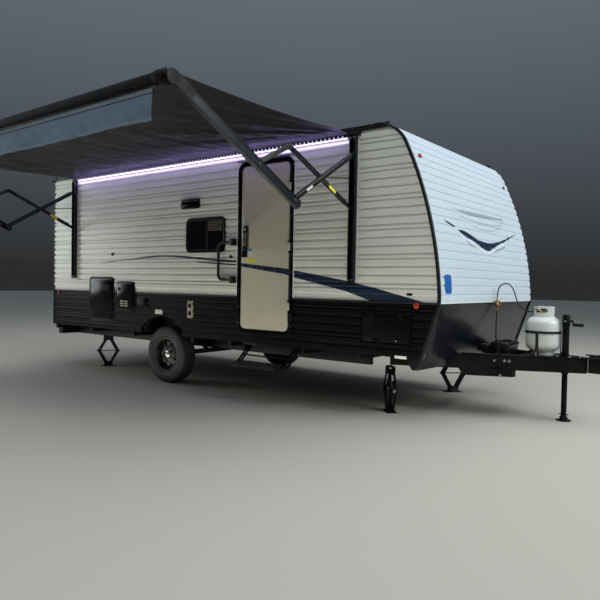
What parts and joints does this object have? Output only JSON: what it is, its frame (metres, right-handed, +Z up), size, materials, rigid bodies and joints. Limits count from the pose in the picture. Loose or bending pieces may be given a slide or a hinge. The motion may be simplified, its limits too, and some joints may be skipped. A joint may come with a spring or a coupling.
{
  "type": "single-axle travel caravan",
  "caption": "Hard-sided towed caravan on a steel ladder chassis, with tongue jack, hinged doors, folding step and a scissor-arm side awning over its entry.",
  "frame": {"origin": "on the ground on the centre line, at the middle of the tongue jack's foot", "axes": "+X forward to the coupler, +Y to the left side, +Z up"},
  "size_m": [7.14, 4.7287, 3],
  "materials": {
    "siding_light": "satin",
    "nose_dark": "gloss",
    "roof_skin": "matt",
    "floor_board": "matt",
    "black_paint": "satin",
    "black_plastic": "matt",
    "frame_black": "satin",
    "dark_glass": "gloss",
    "door_skin": "satin",
    "storage_dark": "satin",
    "tyre": "matt",
    "wheel_black": "satin",
    "galvanised": "satin",
    "gas_white": "satin",
    "brass": "satin",
    "hose_rubber": "matt",
    "unit_white": "satin",
    "lens_red": "gloss",
    "awning_black": "satin",
    "canopy_cloth": "matt",
    "valance_cloth": "matt"
  },
  "bodies": {
    "caravan": {"right_wall": "siding_light", "left_wall": "siding_light", "front_wall": "siding_light", "rear_wall": "siding_light", "nose_cap": "nose_dark", "roof": "roof_skin", "floor_deck": "floor_board", "wheel_arches": "black_plastic", "window_frames": "frame_black", "window_glass": "dark_glass", "door_frame": "frame_black", "chassis_rails": "black_paint", "chassis_crossmembers": "black_paint", "tongue_frame": "black_paint", "coupler": "black_paint", "jack_tube": "black_paint", "gas_cylinder": "gas_white", "cylinder_strap": "black_paint", "battery_box": "black_plastic", "gas_regulator": "brass", "gas_pigtail": "hose_rubber", "gas_supply_hose": "hose_rubber", "axle": "black_paint", "stabiliser_jacks": "black_paint", "roof_air_conditioner": "unit_white", "roof_vents": "unit_white", "lamps": "lens_red", "service_panels": "black_plastic", "grab_handle": "black_plastic", "step_bracket": "black_paint", "awning_rails": "awning_black", "awning_canopy": "canopy_cloth"},
    "entry_door": {"entry_door": "door_skin"},
    "storage_door_right": {"storage_door_right": "storage_dark"},
    "storage_door_left": {"storage_door_left": "storage_dark"},
    "wheel_right": {"tyre_right": "tyre", "rim_right": "wheel_black"},
    "wheel_left": {"tyre_left": "tyre", "rim_left": "wheel_black"},
    "jack_leg": {"jack_leg": "galvanised"},
    "step_arms": {"step_arms": "black_paint"},
    "step_links": {"step_links": "black_paint"},
    "step_tread": {"step_tread": "black_paint"},
    "awning_upper_links": {"awning_upper_links": "awning_black"},
    "awning_lower_links": {"awning_lower_links": "awning_black"},
    "awning_main_arms": {"awning_main_arms": "awning_black"},
    "awning_short_links": {"awning_short_links": "awning_black"},
    "awning_roller": {"awning_roller": "awning_black", "awning_valance": "valance_cloth"}
  },
  "joints": [
    {"name": "entry_door_hinge", "type": "hinge", "parent": "caravan", "child": "entry_door", "pos_m": [-2.318, -1.242, 1.6], "axis": [0, 0, 1], "range_deg": [0, 170]},
    {"name": "storage_door_right_hinge", "type": "hinge", "parent": "caravan", "child": "storage_door_right", "pos_m": [-1.207, -1.236, 0.974], "axis": [-1, 0, 0], "range_deg": [0, 100]},
    {"name": "storage_door_left_hinge", "type": "hinge", "parent": "caravan", "child": "storage_door_left", "pos_m": [-1.207, 1.236, 0.974], "axis": [1, 0, 0], "range_deg": [0, 100]},
    {"name": "wheel_right_spin", "type": "hinge", "parent": "caravan", "child": "wheel_right", "pos_m": [-4.293, -1.06, 0.345], "axis": [0, 1, 0], "continuous": true},
    {"name": "wheel_left_spin", "type": "hinge", "parent": "caravan", "child": "wheel_left", "pos_m": [-4.293, 1.06, 0.345], "axis": [0, 1, 0], "continuous": true},
    {"name": "tongue_jack_lift", "type": "slide", "parent": "caravan", "child": "jack_leg", "axis": [0, 0, 1], "range_m": [0, 0.35]},
    {"name": "step_fold", "type": "hinge", "parent": "caravan", "child": "step_arms", "pos_m": [-2.613, -1.172, 0.545], "axis": [1, 0, 0], "range_deg": [0, 113]},
    {"name": "step_link_turn", "type": "hinge", "parent": "caravan", "child": "step_links", "pos_m": [-2.613, -1.102, 0.545], "axis": [1, 0, 0], "range_deg": [0, 113]},
    {"name": "step_tread_turn", "type": "hinge", "parent": "step_arms", "child": "step_tread", "pos_m": [-2.613, -1.344, 0.387], "axis": [1, 0, 0], "range_deg": [-113, 0]},
    {"name": "awning_fold", "type": "hinge", "parent": "caravan", "child": "awning_upper_links", "pos_m": [-3.8465, -1.2648, 2.4349], "axis": [1, 0, 0], "range_deg": [0, 55.11], "deforming": ["awning_canopy"]},
    {"name": "awning_lower_link_turn", "type": "hinge", "parent": "awning_upper_links", "child": "awning_lower_links", "pos_m": [-3.8465, -1.74701, 2.14645], "axis": [1, 0, 0], "range_deg": [-117.37, 0]},
    {"name": "awning_main_arm_turn", "type": "hinge", "parent": "awning_upper_links", "child": "awning_main_arms", "pos_m": [-3.8465, -2.1731, 1.89157], "axis": [1, 0, 0], "range_deg": [-114.17, 0]},
    {"name": "awning_short_link_turn", "type": "hinge", "parent": "awning_lower_links", "child": "awning_short_links", "pos_m": [-3.8465, -2.17706, 2.33559], "axis": [1, 0, 0], "range_deg": [0, 120.36]},
    {"name": "awning_roller_turn", "type": "hinge", "parent": "awning_main_arms", "child": "awning_roller", "pos_m": [-3.8465, -3.42974, 2.53018], "axis": [1, 0, 0], "range_deg": [0, 59.06]}
  ],
  "couplings": [
    {"joint": "step_link_turn", "follows": "step_fold", "ratio": 1},
    {"joint": "step_tread_turn", "follows": "step_fold", "ratio": -1},
    {"joint": "awning_lower_link_turn", "follows": "awning_fold", "ratio": -2.1297},
    {"joint": "awning_main_arm_turn", "follows": "awning_fold", "ratio": -2.0716},
    {"joint": "awning_short_link_turn", "follows": "awning_fold", "ratio": 2.1839},
    {"joint": "awning_roller_turn", "follows": "awning_fold", "ratio": 1.0716}
  ]
}
